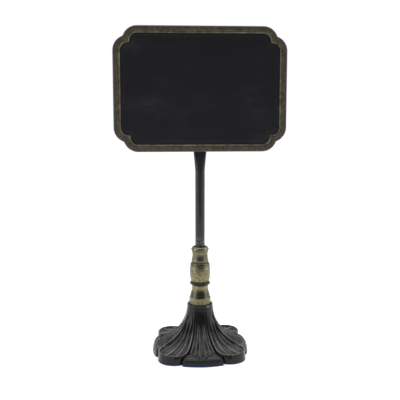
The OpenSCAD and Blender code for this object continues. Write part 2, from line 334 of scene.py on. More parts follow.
def chalkboard():
    """Matt charcoal paint with wiped chalk, a little more of it towards the frame."""
    s = Shader("chalkboard", Specular_IOR_Level=0.2)
    near = s.ramp(s.attribute("edge"), 6.7, 13.0, 1.0, 0.0)
    haze = s.noise(16, 5, 0.6, s.stretched((1.0, 1.0, 1.6)))
    wipes = s.noise(60, 6, 0.62, s.stretched((0.35, 1.0, 1.5)))
    # here the mask is only wiped chalk, with no painted light in it
    dust_and_top_light = s.times(s.ramp(haze, 0.42, 0.75), s.ramp(wipes, 0.35, 0.75))
    dust_and_top_light = s.plus(s.times(dust_and_top_light, 0.30), s.times(near, 0.12))
    grain = s.noise(3200, 2)
    colour = s.mix(dust_and_top_light, (0.0094, 0.0100, 0.0124), (0.075, 0.077, 0.081))
    colour = s.mix(s.ramp(grain, 0.6, 0.8, 0, 0.06), colour, (0.09, 0.09, 0.09))
    bump = s.bump(grain, 0.00006, 0.5, s.bump(s.noise(500, 3), 0.00005, 0.5))
    return s.done(Base_Color=colour, Roughness=s.ramp(dust_and_top_light, 0, 0.4, 0.62, 0.85), Normal=bump)


def black_post_paint():
    """Semi-gloss black, scuffed just above the collar where the post turns."""
    s = Shader("black_post_paint", Specular_IOR_Level=0.32)
    height = s.add("ShaderNodeSeparateXYZ", {"Vector": s.coords}).outputs["Z"]
    mouth = span("collar_lip_ring", Z)[1] * MM
    zone = s.times(s.ramp(height, mouth - 0.001, mouth + 0.001),
                  s.ramp(height, mouth + 0.007, mouth + 0.012, 1.0, 0.0))
    specks = s.ramp(s.noise(1000, 4, 0.7), 0.53, 0.62)
    scuff = s.times(zone, specks)
    orange_peel = s.noise(700, 3)
    drag = s.noise(900, 3, vector=s.stretched((1.0, 1.0, 0.08)))
    colour = s.mix(s.ramp(drag, 0.3, 0.8), (0.020, 0.020, 0.023), (0.032, 0.032, 0.036))
    colour = s.mix(s.times(scuff, 0.9), colour, (0.28, 0.28, 0.28))
    rough = s.plus(s.ramp(drag, 0.3, 0.7, 0.26, 0.36), s.times(scuff, 0.3))
    bump = s.bump(orange_peel, 0.00004, 0.5, s.bump(scuff, 0.00008, 0.6))
    return s.done(Base_Color=colour, Roughness=rough, Normal=bump)


def antique_brass():
    """Brushed brass gone brown, darker where groove is near 1 (painted shade inside the lip's mouth) and
    greyed where dull is near 1.
    """
    s = Shader("antique_brass")
    turning = s.noise(420, 4, 0.65, s.stretched((0.10, 0.10, 3.4)))
    patina = s.noise(330, 5, 0.62)
    colour = s.mix(s.ramp(patina, 0.3, 0.7), (0.110, 0.096, 0.054), (0.243, 0.219, 0.126))
    colour = s.mix(s.ramp(turning, 0.48, 0.68, 0, 0.7), colour, (0.335, 0.312, 0.182))
    greyed = s.mix(s.ramp(turning, 0.35, 0.7), (0.088, 0.083, 0.064), (0.185, 0.176, 0.132))
    colour = s.mix(s.attribute("dull"), colour, greyed)
    # darker where groove is near 1: painted shade inside the lip's mouth, and darker bands on the neck,
    # barrel and cone
    groove = s.attribute("groove")
    colour = s.mix(s.times(groove, 0.75), colour, (0.052, 0.045, 0.034))
    rough = s.ramp(patina, 0.3, 0.7, 0.28, 0.38)
    bump = s.bump(turning, 0.00003, 0.6, s.bump(patina, 0.00002, 0.3))
    return s.done(Base_Color=colour, Metallic=0.92, Roughness=rough, Normal=bump)


def rubbed_black_ring():
    """Black paint rubbed through to brass in places."""
    s = Shader("rubbed_black_ring", Specular_IOR_Level=0.3)
    rub = s.times(s.ramp(s.noise(420, 5, 0.6), 0.58, 0.70), s.attribute("groove"))
    colour = s.mix(rub, (0.012, 0.012, 0.011), (0.11, 0.10, 0.07))
    return s.done(Base_Color=colour, Roughness=s.ramp(rub, 0, 1, 0.28, 0.45),
                  Metallic=s.times(rub, 0.7),
                  Normal=s.bump(s.noise(1200, 3), 0.00003, 0.5))


def black_enamel():
    """Black enamel on cast iron, worn copper brown where wear is near 1, lightened on upward faces by
    painted top light and dust, and light grey on its crests as a painted highlight.
    """
    s = Shader("black_enamel", Specular_IOR_Level=0.28)
    wear = s.attribute("wear")
    crest = s.attribute("crest")
    patch = s.noise(170, 4, 0.6)
    pores = s.noise(1300, 4, 0.6)
    rub = s.times(s.ramp(wear, 0.35, 0.95), s.ramp(patch, 0.40, 0.62))
    facing_up = s.add("ShaderNodeSeparateXYZ", {
        "Vector": s.add("ShaderNodeNewGeometry").outputs["Normal"]}).outputs["Z"]
    colour = s.mix(s.ramp(pores, 0.35, 0.7), (0.005, 0.005, 0.006), (0.011, 0.011, 0.012))
    # painted top light, with dust: faces that point up are lightened towards a dusty grey
    dust_and_top_light = s.times(s.ramp(facing_up, 0.1, 0.8), s.ramp(patch, 0.25, 0.7, 0.25, 0.5))
    colour = s.mix(dust_and_top_light, colour, (0.046, 0.045, 0.050))
    # painted highlight: crests turn light grey where gloss would catch the light, and the real rim chip
    # shows the same grey
    painted_crest_highlight = s.times(s.ramp(crest, 0.15, 0.9), s.ramp(patch, 0.30, 0.60, 0.35, 0.75))
    colour = s.mix(painted_crest_highlight, colour, (0.265, 0.256, 0.268))
    colour = s.mix(s.times(rub, 0.85), colour, (0.150, 0.092, 0.062))
    rough = s.plus(s.ramp(patch, 0.3, 0.7, 0.17, 0.28), s.times(rub, 0.12))
    bump = s.bump(pores, 0.00003, 0.4, s.bump(s.noise(320, 3), 0.00012, 0.4))
    return s.done(Base_Color=colour, Roughness=rough, Normal=bump)


def navy_felt():
    """Pressed dark-blue felt with short fibres."""
    s = Shader("navy_felt", Specular_IOR_Level=0.2, Sheen_Weight=0.25, Sheen_Roughness=0.4)
    fibres = s.noise(2600, 5, 0.75)
    colour = s.mix(s.ramp(fibres, 0.3, 0.7), (0.009, 0.018, 0.062), (0.024, 0.044, 0.145))
    return s.done(Base_Color=colour, Roughness=0.95, Normal=s.bump(fibres, 0.0003, 0.8))


def hardboard():
    """Brown pressed fibreboard, flecked with dark and light fibres."""
    s = Shader("hardboard", Specular_IOR_Level=0.3)
    flecks = s.noise(650, 6, 0.7)
    threads = [s.add("ShaderNodeTexWave", {"Vector": s.coords, "Scale": 260.0, "Distortion": 0.6,
                                           "Detail": 2.0}, bands_direction=way).outputs["Fac"]
               for way in "XZ"]
    colour = s.mix(s.ramp(flecks, 0.35, 0.65), (0.105, 0.055, 0.027), (0.230, 0.135, 0.070))
    colour = s.mix(s.ramp(s.noise(1400, 4), 0.62, 0.75), colour, (0.045, 0.024, 0.012))
    weave = s.plus(*threads)
    return s.done(Base_Color=colour, Roughness=s.ramp(flecks, 0.3, 0.7, 0.62, 0.8),
                  Normal=s.bump(weave, 0.00012, 0.5, s.bump(flecks, 0.00015, 0.5)))


def plated_steel(name, dark, light, rough):
    """Bright metal with fine cloudy plating."""
    s = Shader(name)
    cloud = s.noise(500, 4, 0.6)
    lines = s.noise(1200, 3, 0.6, s.stretched((1.0, 1.0, 0.15)))
    colour = s.mix(s.ramp(cloud, 0.3, 0.7), dark, light)
    return s.done(Base_Color=colour, Metallic=1.0, Roughness=s.ramp(cloud, 0.3, 0.7, rough, rough + 0.14),
                  Normal=s.bump(lines, 0.00003, 0.5))


def powder_coat():
    """Black powder coat with a fine pebbled skin."""
    s = Shader("powder_coat", Specular_IOR_Level=0.45)
    pebble = s.noise(1800, 2)
    colour = s.mix(s.ramp(pebble, 0.35, 0.7), (0.014, 0.014, 0.016), (0.030, 0.030, 0.032))
    return s.done(Base_Color=colour, Roughness=s.ramp(pebble, 0.3, 0.7, 0.42, 0.55),
                  Normal=s.bump(pebble, 0.00008, 0.6))


# ---- sign


def plaque_ring(inset):
    """Points (x, z) of the notched outline about the sign's middle, drawn inset, always as many."""
    r = CORNER_R - inset
    mid_x = SIGN_HALF_W - CORNER_R - NOTCH / 2
    mid_z = SIGN_HALF_H - CORNER_R - NOTCH / 2
    step = math.sqrt(((r + DIMPLE_R) ** 2 - NOTCH ** 2 / 2) / 2)
    meet = math.degrees(math.atan2(step + NOTCH / 2, step - NOTCH / 2))
    quarter = arc(mid_x + NOTCH / 2, mid_z - NOTCH / 2, r, 0, meet, 16)
    quarter += arc(mid_x + step, mid_z + step, DIMPLE_R, 180 + meet, 270 - meet, 6)[1:-1]
    quarter += arc(mid_x - NOTCH / 2, mid_z + NOTCH / 2, r, 90 - meet, 90, 16)
    corners = [[(sx * x, sz * z) for x, z in (quarter if sx * sz > 0 else quarter[::-1])]
               for sx, sz in ((1, 1), (-1, 1), (-1, -1), (1, -1))]
    ring = []
    for corner, after, pieces in zip(corners, corners[1:] + corners[:1], (36, 22, 36, 22)):
        (x0, z0), (x1, z1) = corner[-1], after[0]
        ring += corner
        ring += [(x0 + (x1 - x0) * i / pieces, z0 + (z1 - z0) * i / pieces) for i in range(1, pieces)]
    return np.array(ring)


def build_sign_frame(material):
    """Frame swept round the plaque outline: eased dark edge, domed gold band, groove and bead."""
    depth = FRAME_BACK - FRAME_FRONT
    lip = PANEL_FRONT - FRAME_FRONT
    section = [((RABBET_WALL, depth), 0), ((0.7, depth), 0)]
    section += [((x, y), 0) for x, y in arc(0.7, depth - 0.7, 0.7, 90, 180, 4)]
    section += [((x, y), 0) for x, y in arc(1.8, 1.9, 1.8, 180, 235, 7)]
    section += [((x, y), 0.5) for x, y in arc(1.8, 1.9, 1.8, 245, 262, 3)]
    section += [((2.4, 0.02), 0.6), ((3.2, -0.06), 0.85), ((4.1, -0.06), 1), ((4.8, 0.08), 1),
                ((5.2, 0.38), 1), ((5.45, 0.75), 0.8)]
    section += [((x, y), 2) for x, y in arc(6.02, 0.55, 0.55, 190, 350, 8)]
    section += [((BORDER_W, lip * 0.75), 0.3), ((BORDER_W, lip), 0), ((RABBET_WALL, lip), 0)]
    points, tone = [], []
    for (inset, back), level in section:
        ring = plaque_ring(inset)
        inward = (plaque_ring(inset + 0.1) - ring) / 0.1
        front = max(0.0, 1.0 - back / 1.2)
        uneven = 0.13 if 4.9 < inset < BORDER_W + 0.01 and back < 1.0 else 0.03 * front
        for (x, z), (nx, nz) in zip(ring, inward):
            wob = noise.noise(Vector((x, z, 7.0)) * 0.33) + 0.6 * noise.noise(Vector((x, z, 2.0)) * 0.9)
            points.append((x + nx * uneven * wob, FRAME_FRONT + back + 0.07 * wob * front,
                           SIGN_MID + z + nz * uneven * wob))
            tone.append(level)
    count = len(points) // len(section)
    obj = add_mesh("sign_frame_look", points,
                   grid_faces(len(section), count, across=True, around=True))
    set_attribute(obj, "tone", tone)
    finish_piece(obj, SIGN, material, "sign_frame", sharp=50)


def build_panel(material):
    """Chalkboard slab in rings from its edge to its middle, each point knowing how near the edge it is."""
    insets = [RABBET_WALL + 0.1, 5.6, 6.6]
    last = plaque_ring(insets[-1])
    reach = np.abs(last).max(axis=0)
    rings = [(PANEL_BACK, insets[0], plaque_ring(insets[0]))]
    rings += [(PANEL_FRONT, inset, plaque_ring(inset)) for inset in insets]
    rings += [(PANEL_FRONT, insets[-1] + more, last * (1 - more / reach))
              for more in (0.8, 1.8, 3.0, 4.6, 7.0, 12.0, 20.0, 30.0, 40.0)]
    n = len(last)
    points = [(x, y, SIGN_MID + z) for y, _, ring in rings for x, z in ring]
    edge = [inset for _, inset, _ in rings for _ in range(n)]
    faces = grid_faces(len(rings), n, around=True)
    for y, row in ((PANEL_BACK, 0), (PANEL_FRONT, len(rings) - 1)):
        points.append((0.0, y, SIGN_MID))
        edge.append(rings[-1][1])
        faces += [(row * n + j, row * n + (j + 1) % n, len(points) - 1) for j in range(n)]
    obj = add_mesh("chalkboard_look", points, faces)
    set_attribute(obj, "edge", edge)
    finish_piece(obj, SIGN, material, "chalkboard_panel", sharp=50)


def build_post(material):
    """Round tube that is pressed flat towards its top, with eased corners at the end."""
    sides = 64
    girth_r = POST_R - 0.07
    ease = smooth(np.linspace(0, 1, 25), 0, 1)
    sections = [(POST_FOOT, POST_R - 0.4, 1), (POST_FOOT + 0.4, POST_R, 1),
                (FLARE_START - 25, POST_R, 1), (FLARE_START, POST_R, 1)]
    for i, e in enumerate(ease):
        z = FLARE_START + (FLARE_END - FLARE_START) * i / (len(ease) - 1)
        sections.append((z, POST_R + (TONGUE_T / 2 - POST_R) * e, 1))
    for drop, narrow in ((20, 1), (2.1, 1), (1.3, 0.94), (0.6, 0.84), (0.15, 0.72), (0, 0.62)):
        sections.append((POST_TOP - drop, TONGUE_T / 2 * (1 if drop > 0.2 else 0.8), narrow))
    points = []
    for z, b, narrow in sections:
        wide = max(b, b + math.pi / 2 * (girth_r - b)) * narrow
        for j in range(sides):
            a = 2 * math.pi * (j + 0.5) / sides
            shift = math.copysign(max(wide - b, 0.0), math.cos(a))
            points.append((shift + b * math.cos(a), b * math.sin(a), z))
    obj = add_mesh("post_look", points, capped_faces(len(sections), sides))
    finish_piece(obj, SIGN, material, "post_tube", sharp=50)


# ---- back of the sign


def rounded_rect(half_w, half_h, r):
    """A function giving a rounded rectangle's (x, z) points about the sign's middle, inset."""
    def outline(inset):
        points = []
        for k, (sx, sz) in enumerate(((1, 1), (-1, 1), (-1, -1), (1, -1))):
            points += arc(sx * (half_w - r), SIGN_MID + sz * (half_h - r), r - inset,
                          90 * k, 90 * k + 90, 6)
        return points
    return outline


def keyhole(x, z, up, r0, r1, length):
    """A clip's outline: a small end round the screw and a larger end a length away, inwards."""
    def outline(inset):
        join_angle = math.degrees(math.asin(r0 / r1))
        small = arc(0, 0, r0 - inset, 0, 180, 10)
        large = arc(0, -length, r1 - inset, 90 + join_angle, 450 - join_angle, 20)
        return [(x + px, z + up * pz) for px, pz in small + large]
    return outline


def build_strap(material):
    lo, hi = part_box("back_strap")
    half_w, half_h = hi.x / MM, (hi.z - lo.z) / MM / 2
    obj = slab("back_strap_look", rounded_rect(half_w, half_h, 3), lo.y / MM, hi.y / MM, 0.35)
    finish_piece(obj, SIGN, material, "back_strap")


def clip_places():
    """(x, z, 1 at the top or -1 at the bottom) of each retainer clip's screw."""
    clip_x = 45.0
    clip_z = SIGN_HALF_H - RABBET_WALL / 2
    return [(sx * clip_x, SIGN_MID + sz * clip_z, sz) for sx in (-1, 1) for sz in (-1, 1)]


def build_clips(material):
    y0, y1 = span("retainer_clips", Y)
    clips = [slab("clip", keyhole(x, z, up, RABBET_WALL / 2, 3.5, 9.0), y0, y1, 0.2)
             for x, z, up in clip_places()]
    finish_piece(join(clips, "retainer_clips_look"), SIGN, material,
                 "retainer_clips")


def make_screw(x, z, seat, head_r, head_h, turn):
    """Pan head with a cross recess, standing on depth seat and facing back."""
    dome = [(0, 0), (head_r * 0.94, 0), (head_r, head_h * 0.12), (head_r * 0.97, head_h * 0.38)]
    dome += [(head_r * math.cos(t), head_h * (0.38 + 0.62 * math.sin(t)))
             for t in np.linspace(0.35, math.pi / 2 - 0.12, 8)]
    dome += [(0, head_h)]
    head = lathe("screw", dome, 40)
    for k in range(2):
        half_l, half_w, depth = head_r * 0.56, head_r * 0.12, head_h * 0.62
        top, low = head_h + 0.2, head_h - depth
        box = [(sx * half_l * f, sy * half_w * f, zz) for zz, f in ((top, 1.15), (low, 0.55))
               for sx, sy in ((1, 1), (-1, 1), (-1, -1), (1, -1))]
        a = math.radians(turn + 90 * k)
        box = [(px * math.cos(a) - py * math.sin(a), px * math.sin(a) + py * math.cos(a), pz)
               for px, py, pz in box]
        faces = grid_faces(2, 4, around=True) + [(0, 1, 2, 3), (7, 6, 5, 4)]
        cut(head, add_mesh("recess", box, faces))
    points = mesh_points(head)
    placed = np.column_stack([x + points[:, 0], seat + points[:, 2], z - points[:, 1]])
    head.data.vertices.foreach_set("co", (placed * MM).ravel())
    return head


def build_screws(material):
    """The three groups of screw heads on the back, each head turned its own way."""
    rng = random.Random(4)
    strap_back = span("back_strap", Y)[1]
    clip_back = span("retainer_clips", Y)[1]
    washer_back = span("post_screw_washers", Y)[1]
    strap_x = SIGN_HALF_W - RABBET_WALL / 2
    groups = {
        "clip_screws": ([(x, z) for x, z, _ in clip_places()], clip_back, 1.8, 1.1),
        "strap_screws": ([(sx * strap_x, SIGN_MID + sz * 7) for sx in (-1, 1) for sz in (-1, 1)],
                         strap_back, 1.8, 1.1),
        "post_screws": ([(0, SIGN_MID - 8), (0, SIGN_MID + 8)], washer_back, 3.6, 2.2)}
    for node, (places, seat, head_r, head_h) in groups.items():
        heads = [make_screw(x, z, seat, head_r, head_h, rng.uniform(0, 90)) for x, z in places]
        finish_piece(join(heads, node + "_look"), SIGN, material, node, sharp=35)


# ---- collar


def build_turned(name, node, outline, material, groove, dull=lambda z: 0.0):
    """A turned collar part; groove(radius, height) from 0 to 1 says where the brass is darker (painted shade
    inside the lip's mouth) or paint is rubbed, and dull(height) from 0 to 1 how far its brass has greyed."""
    obj = lathe(name, outline, 160)
    co = mesh_points(obj)
    radius = np.hypot(co[:, 0], co[:, 1])
    set_attribute(obj, "groove", groove(radius, co[:, 2]))
    set_attribute(obj, "dull", dull(co[:, 2]) + np.zeros(len(co)))
    finish_piece(obj, BASE, material, node, sharp=45)


def build_lip(brass):
    """Lip ring: a rounded swelling on a plain fillet, open round the post."""
    lip_r = span("collar_lip_ring", X)[1]
    mouth_r, rim, swell, under, fillet_r = 5.95, 0.5, 2.9, 1.5, 7.7
    sleeve_top = span("guide_sleeve", Z)[1]
    z0, z1 = span("collar_lip_ring", Z)
    turn = math.acos((mouth_r + rim - lip_r + swell) / (swell - rim))
    middle = z1 - rim - (swell - rim) * math.sin(turn)
    outline = [(fillet_r - 0.1, z0), (fillet_r, z0 + 0.1), (fillet_r, z0 + 1.4), (fillet_r - 0.3, z0 + 1.45)]
    outline += arc(lip_r - under, middle, under, -60, 0, 12)
    outline += arc(lip_r - swell, middle, swell, 0, math.degrees(turn), 14)[1:]
    outline += arc(mouth_r + rim, z1 - rim, rim, math.degrees(turn), 180, 12)[1:]
    outline += [(mouth_r, sleeve_top + 0.5), (mouth_r, sleeve_top), (BORE_R, sleeve_top), (BORE_R, z0)]
    # the lip's groove darkens the inside of its mouth: painted shade down the opening round the post
    build_turned("collar_lip_look", "collar_lip_ring", outline, brass,
                 lambda r, z: smooth(z1 - 1.2 - z, 0, 1.2) * (r < mouth_r + 0.07), lambda z: 0.35)


def build_neck(brass):
    """Neck: a small ledge at its foot, then a long taper to a waist near its top."""
    ledge_r, waist_r, taper, crown = 7.8, 7.3, 30, 6
    z0, z1 = span("collar_neck", Z)
    outline = [(BORE_R, z0), (ledge_r + 0.05, z0)] + arc(ledge_r, z0 + 0.3, 0.3, -60, 0, 3)
    outline += arc(ledge_r, z0 + 1.2, 0.3, 0, 80, 4)
    outline += arc(waist_r + taper, z1 - 1.6, taper, 190.2, 180, 16)
    outline += arc(waist_r + crown, z1 - 1.6, crown, 179, 166, 6)
    outline += [(waist_r + 0.2, z1), (BORE_R, z1)]
    build_turned("collar_neck_look", "collar_neck", outline, brass,
                 lambda r, z: 0.3 * smooth(2.6 - abs(z - z0 - 4.2), 0, 2.2), lambda z: 0.75)


def build_barrel(brass):
    """Barrel: the widest bead, with fine turned grooves and a rounded shoulder."""
    barrel_r = span("collar_barrel", X)[1]
    swell = 40
    z0, z1 = span("collar_barrel", Z)
    bulge = arc(barrel_r - swell, z0 + 9.0, swell, -11.3, 9.4, 44)
    turned = [(r - 0.09 * max(0.0, math.sin(z * 3.4)) ** 4, z) for r, z in bulge]
    outline = [(BORE_R, z0), (8.1, z0)] + arc(7.7, z0 + 1.1, 1.19, -50, -10, 4) + turned
    outline += arc(6.6, z1 - 3.1, 2.6, 5, 62, 8) + [(7.8, z1 - 0.4), (7.75, z1), (BORE_R, z1)]
    build_turned("collar_barrel_look", "collar_barrel", outline, brass,
                 lambda r, z: np.maximum(smooth(z, z1 - 6.5, z1 - 1.0),
                                         0.3 * smooth(z0 + 0.8 - z, 0, 0.8)),
                 lambda z: 0.25 * smooth(z, z0 + 9, z0 + 15))


def build_dark_ring(paint):
    """Black ring between the barrel and the cone."""
    edge_r, bulge = 8.3, 1.48
    z0, z1 = span("collar_dark_ring", Z)
    outline = [(edge_r + bulge * math.sin(math.pi * t) ** 1.3, z0 + (z1 - z0) * t)
               for t in np.linspace(0.02, 0.98, 22)]
    build_turned("collar_dark_ring_look", "collar_dark_ring", [(BORE_R, z0)] + outline + [(BORE_R, z1)],
                 paint, lambda r, z: smooth(r, edge_r + 0.8, edge_r + 1.4))


def build_cone(brass):
    """Cone: an upright band that stands in the cup, a greyed slope and a narrow top."""
    band_r = span("collar_cone", X)[1]
    z0, z1 = span("collar_cone", Z)
    outline = [(BORE_R, z0), (band_r - 0.4, z0), (band_r - 0.05, z0 + 0.5), (band_r, z0 + 1.5)]
    outline += arc(band_r - 0.45, z0 + 9.1, 0.45, 0, 75, 5)
    outline += [(9.6, z0 + 10.1), (9.12, z0 + 12.3), (8.77, z0 + 13.7), (8.37, z0 + 14.9),
                (8.07, z0 + 15.9), (7.87, z0 + 16.9), (7.76, z0 + 18.1), (7.7, z1 - 0.1), (BORE_R, z1)]
    build_turned("collar_cone_look", "collar_cone", outline, brass,
                 lambda r, z: np.maximum(smooth(z0 + 4.6 - z, 0, 1.5),
                                         0.8 * smooth(0.5 - abs(z - z0 - 9.9), 0, 0.5))
                 + 0.75 * smooth(3.4 - abs(z - z0 - 13.0), 0, 1.0),
                 lambda z: 0.85 * smooth(3.6 - abs(z - z0 - 13.0), 0, 1.0))


def build_collar(brass, paint):
    """The five turned pieces on the guide sleeve, from the mouth down."""
    build_lip(brass)
    build_neck(brass)
    build_barrel(brass)
    build_dark_ring(paint)
    build_cone(brass)


# ---- base


def flow(travel, radius, far):
    """Radius, height and slope angle after a travel down a falling surface.

    It widens from the cup's very top, and lifts a little towards radius far."""
    quarter = radius * math.pi / 2
    slope = np.clip(travel / radius, 0, math.pi / 2)
    over = np.maximum(travel - quarter, 0)
    taper = CUP_TAPER * smooth(travel, -4, 8) * (1 - smooth(travel, 12, 30))
    r = CUP_R + radius * (1 - np.cos(slope)) + over + taper
    z = FLOW_TOP - radius * np.sin(slope) + 0.5 * smooth(r, CUP_R + radius - 4, far)
    return r, z, slope


def travel_to(r, radius):
    """Travel down a falling surface to reach radius r."""
    turn = math.acos(min(1.0, max(-1.0, 1 - (r - CUP_R) / radius)))
    return radius * turn + max(0.0, r - CUP_R - radius)


def leaf_inside(x, y):
    """Distance inward from a leaf's outline, for points in the leaf's own frame along +X."""
    side = ((x - LEAF_APEX) * math.tan(LEAF_ANGLE) - abs(y)) * math.cos(LEAF_ANGLE)
    end = LOBE_R - np.hypot(x - LOBE_DIST, y)
    return np.where(x > LOBE_DIST - LOBE_R * math.sin(LEAF_ANGLE), end, side)


def leaf_relief(x, y):
    """Height of a leaf's carving over its plain surface: border bead, groove, ridges and flutes."""
    inside = np.maximum(leaf_inside(x, y), 0)
    r = np.hypot(x, y)
    away = np.abs(np.degrees(np.arctan2(y, x)))
    left = np.degrees(np.maximum(inside - 1.7, 0) / r)
    outer = np.clip((away - RIDGE_TURN) / np.maximum(away - RIDGE_TURN + left, 0.01), 0, 1)
    wave = np.where(away < RIDGE_TURN, np.sin(np.pi * away / RIDGE_TURN), np.sin(np.pi * outer))
    deep = np.minimum(0.055 * r, 1.8) * smooth(r, CUP_R, CUP_R + 8)
    scoop = smooth(inside, 1.6, 4.0)
    flutes = -deep * np.clip(wave, 0, 1) ** 0.85 * scoop
    from_ridge = np.minimum(away, np.abs(away - RIDGE_TURN)) * np.pi / 180 * r
    ridges = 0.55 * np.exp(-(from_ridge / 0.6) ** 2) * scoop * smooth(r, CUP_R + 1, CUP_R + 8)
    bead = 0.85 * np.sqrt(np.clip(1 - ((inside - 0.75) / 0.85) ** 2, 0, 1))
    groove = -0.75 * np.exp(-((inside - 2.0) / 0.5) ** 2)
    fade = smooth(r, CUP_R - 0.1, CUP_R + 2.5)
    return flutes + ridges + (bead + groove) * fade


def leaf_shares():
    """Shares from -1 to 1 across a leaf, one for each column, closest at its border."""
    ridge_share = 0.52
    inner = np.linspace(0, ridge_share, 24)
    outer = ridge_share + (1 - ridge_share) * np.sin(np.linspace(0, np.pi / 2, 28))[1:]
    half = np.concatenate([inner, outer])
    return np.concatenate([-half[:0:-1], half])


def leaf_column(s):
    """A column's upper and lower points along +X, down from the cup to the leaf's outline."""
    border = 3.6
    rows = np.concatenate([np.linspace(0, 1, 66), 1 + np.linspace(0, 1, 21)[1:]])
    upright = np.linspace(CUP_TOP - 0.9, FLOW_TOP, 5)[:-1]
    root_half = LEAF_ANGLE - math.asin(LEAF_APEX * math.sin(LEAF_ANGLE) / CUP_R)
    psi = math.copysign(abs(s) ** 1.56, s) * (math.pi / 2 + LEAF_ANGLE)
    end = np.array([LOBE_DIST + LOBE_R * math.cos(psi), LOBE_R * math.sin(psi)])
    root = CUP_R * np.array([math.cos(root_half * s), math.sin(root_half * s)])
    r_end = float(np.hypot(*end))
    inner = travel_to(r_end, LOBE_FLOW) - border
    travel = np.where(rows <= 1, rows * inner, inner + (rows - 1) * border)
    r, z, slope = flow(travel, LOBE_FLOW, LOBE_DIST + LOBE_R)
    w = np.clip((r - CUP_R) / (r_end - CUP_R), 0, 1)
    plan = np.vstack([np.repeat(root[None], len(upright), 0), root + (end - root) * w[:, None]])
    z = np.concatenate([upright, z])
    slope = np.concatenate([np.zeros(len(upright)), slope])
    relief = leaf_relief(plan[:, 0], plan[:, 1])
    out = plan / np.hypot(plan[:, 0], plan[:, 1])[:, None]
    deep = smooth(np.degrees(slope), 35, 70)
    drop = (1 - deep) * 3 + deep * (z - PAD_TOP) / np.maximum(np.sin(slope), 0.3)
    return [np.column_stack([plan + out * (rise * np.cos(slope))[:, None], z + rise * np.sin(slope)])
            for rise in (relief, -drop)]


def leaf_points():
    """The leaf's upper and lower grids along +X: columns side to side, rows down from the cup."""
    upper, lower = zip(*[leaf_column(s) for s in leaf_shares()])
    return np.array(upper), np.array(lower)


def quarter_turns(points, first):
    """Copies of points at four quarter turns about Z, starting at an angle in degrees."""
    for k in range(4):
        a = math.radians(first + 90 * k)
        turn = np.array([[math.cos(a), -math.sin(a), 0], [math.sin(a), math.cos(a), 0], [0, 0, 1]])
        yield points @ turn.T


def build_leaves():
    """Four closed leaf shells as one object."""
    top, low = leaf_points()
    cols, rows = top.shape[:2]
    flare = 0.2
    centre = np.array([LOBE_DIST, 0.0])
    # the outline's foot stands a little further out than its crest
    for c in range(cols):
        p = low[c, -1, :2] - centre
        low[c, -1, :2] += p / np.hypot(*p) * flare
    count = cols * rows
    faces = grid_faces(cols, rows) + grid_faces(cols, rows, start=count, flip=True)
    rim = [(c, 0) for c in range(cols)] + [(cols - 1, r) for r in range(1, rows)]
    rim += [(c, rows - 1) for c in range(cols - 2, -1, -1)] + [(0, r) for r in range(rows - 2, 0, -1)]
    loop = [c * rows + r for c, r in rim]
    for a, b in zip(loop, loop[1:] + loop[:1]):
        faces.append((b, a, a + count, b + count))
    points, all_faces = [], []
    both = np.vstack([top.reshape(-1, 3), low.reshape(-1, 3)])
    for k, turned in enumerate(quarter_turns(both, 45)):
        points.append(turned)
        all_faces += [tuple(v + k * len(both) for v in f) for f in faces]
    return add_mesh("leaves", np.vstack(points), all_faces)


def channel(away, r, turn, r0, r1, w0, w1, depth):
    """A dark slot along an angle, from radius r0 to r1, whose half width grows from w0 to w1."""
    along = np.clip((r - r0) / (r1 - r0), 0, 1)
    half = w0 + (w1 - w0) * along
    across = (away - turn) * np.pi / 180 * r
    ends = smooth(r, r0 - 1.5, r0 + 1.5) * (1 - smooth(r, r1 - 0.5, r1 + 0.7))
    return -depth * np.exp(-(across / half) ** 2) * ends


def mid_relief(r, away):
    """Height of the palmette on a smaller section: a fan of petals split by deep slots.

    Away is the angle from the section's own middle, in degrees and never negative."""
    petals = ((4.3, 41.4), (11.0, 39.8), (17.3, 37.2))
    tip = np.max([end - 2.4 * ((away - turn) / 3.3) ** 2 for turn, end in petals], axis=0)
    inside = 1 - smooth(r, tip - 1.6, tip + 0.3)
    body = inside * smooth(r, 13, 24) * (1 - smooth(away, 20.0, 21.6))
    bulge = np.max([np.exp(-((away - turn) / 2.6) ** 2) for turn, _ in petals], axis=0)
    height = body * (0.5 + 1.0 * bulge * smooth(r, 20, 33))
    height = height + 0.35 * inside * np.exp(-((away - 4.6) / 1.6) ** 2) * smooth(r, 14, 18)
    for turn, r0, r1, w0, w1, depth in (
            (12.3, 15.5, 25.5, 0.6, 1.0, 0.5), (20.6, 16.0, 36.0, 0.5, 1.0, 0.6),
            (0.0, 33.0, 41.0, 0.5, 0.7, 0.4), (7.4, 24.5, 32.0, 0.4, 1.2, 0.55),
            (8.4, 35.2, 37.4, 1.0, 1.0, 0.55), (14.2, 26.5, 34.5, 0.5, 1.0, 0.6)):
        height = height + channel(away, r, turn, r0, r1, w0, w1, depth)
    return height


def turns_around():
    """Angles of the core's columns, close together on the four smaller sections."""
    corner = math.atan2(MID_HALF_W, MID_REACH - MID_END_R + math.sqrt(MID_END_R ** 2 - MID_HALF_W ** 2))
    octant = np.concatenate([np.linspace(0, corner * 1.15, 56),
                             np.linspace(corner * 1.15, math.pi / 4, 12)[1:]])
    quarter = np.concatenate([-octant[:0:-1], octant])[:-1]
    return np.concatenate([quarter + k * math.pi / 2 for k in range(4)])


def mid_reach(phi, half_w=MID_HALF_W):
    """Radius of the smaller sections' edge at an angle from their middle, round at the corners."""
    strip = half_w / np.maximum(np.abs(np.sin(phi)), 1e-6)
    c = MID_REACH - MID_END_R
    end = c * np.cos(phi) + np.sqrt(MID_END_R ** 2 - (c * np.sin(phi)) ** 2)
    return (strip ** -CORNER_POWER + end ** -CORNER_POWER) ** (-1 / CORNER_POWER)


def off_middle(turns):
    """Angles measured from the nearest smaller section's middle."""
    return (turns + math.pi / 4) % (math.pi / 2) - math.pi / 4


